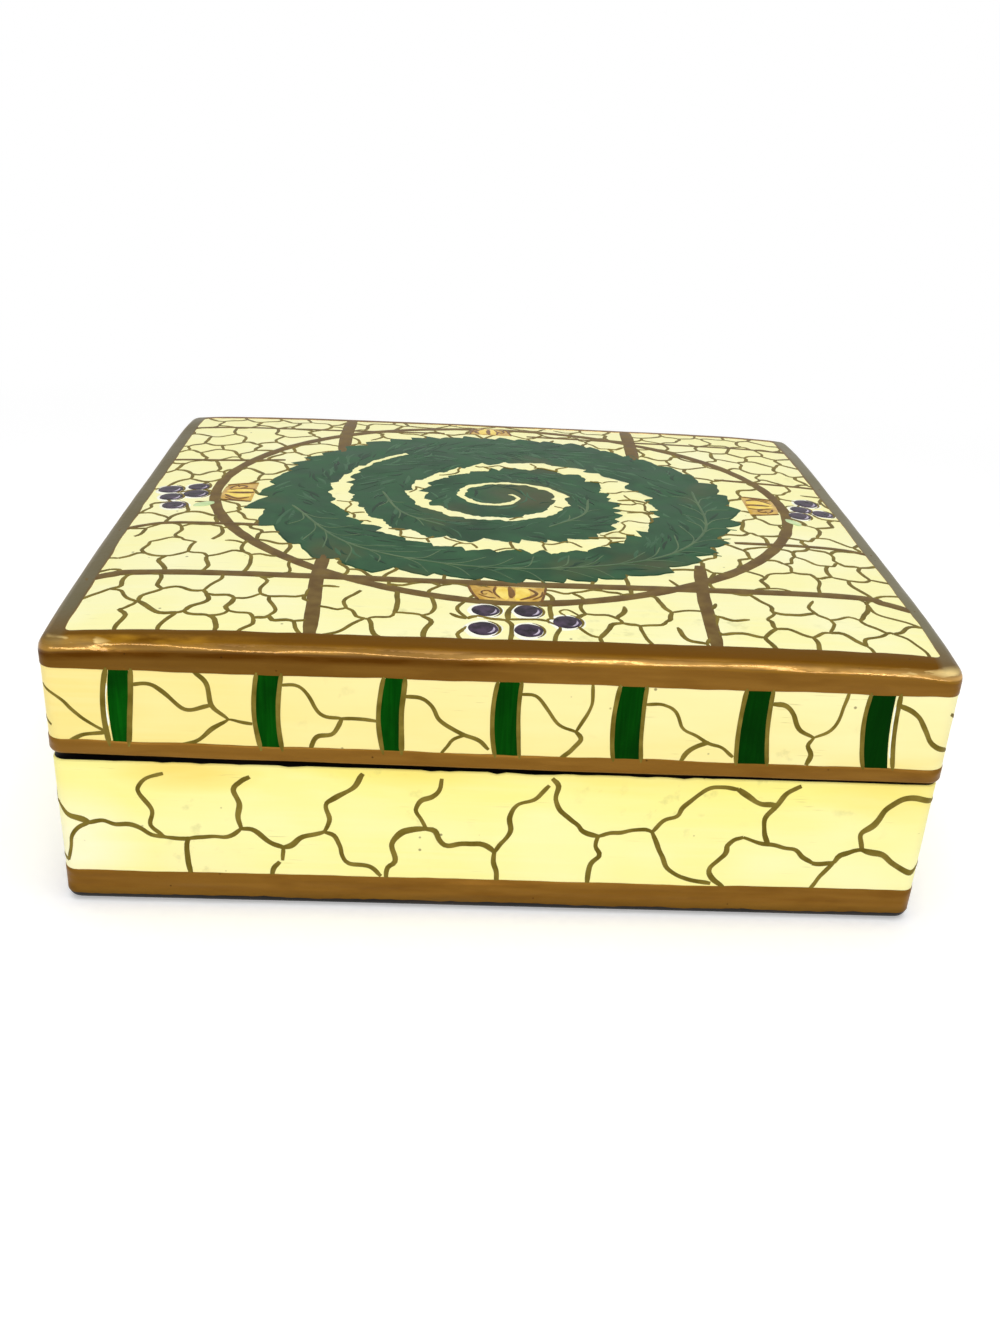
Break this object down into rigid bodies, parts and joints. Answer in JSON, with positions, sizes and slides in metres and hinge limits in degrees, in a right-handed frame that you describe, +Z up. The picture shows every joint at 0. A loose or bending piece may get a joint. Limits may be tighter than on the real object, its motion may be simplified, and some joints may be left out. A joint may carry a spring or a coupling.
{
  "type": "lift-off lid box",
  "caption": "Shallow rectangular papier-mache box with a crowned lift-off lid located by a raised inner neck, for keepsakes.",
  "frame": {"origin": "middle of the underside", "axes": "+X along the longer side, to the right; +Y from front to back; +Z up through the lid"},
  "size_m": [0.152, 0.132, 0.0534],
  "materials": {
    "painted_board": "papier-mache board with painted ornament under gloss varnish",
    "black_lacquer": "pasteboard painted black under satin varnish"
  },
  "bodies": {
    "base": {"base_shell": "painted_board", "neck_front": "black_lacquer", "neck_back": "black_lacquer", "neck_left": "black_lacquer", "neck_right": "black_lacquer"},
    "lid": {"lid_shell": "painted_board"}
  },
  "joints": [
    {"name": "lid_lift", "type": "slide", "parent": "base", "child": "lid", "axis": [0, 0, 1], "range_m": [0, 0.06]}
  ]
}
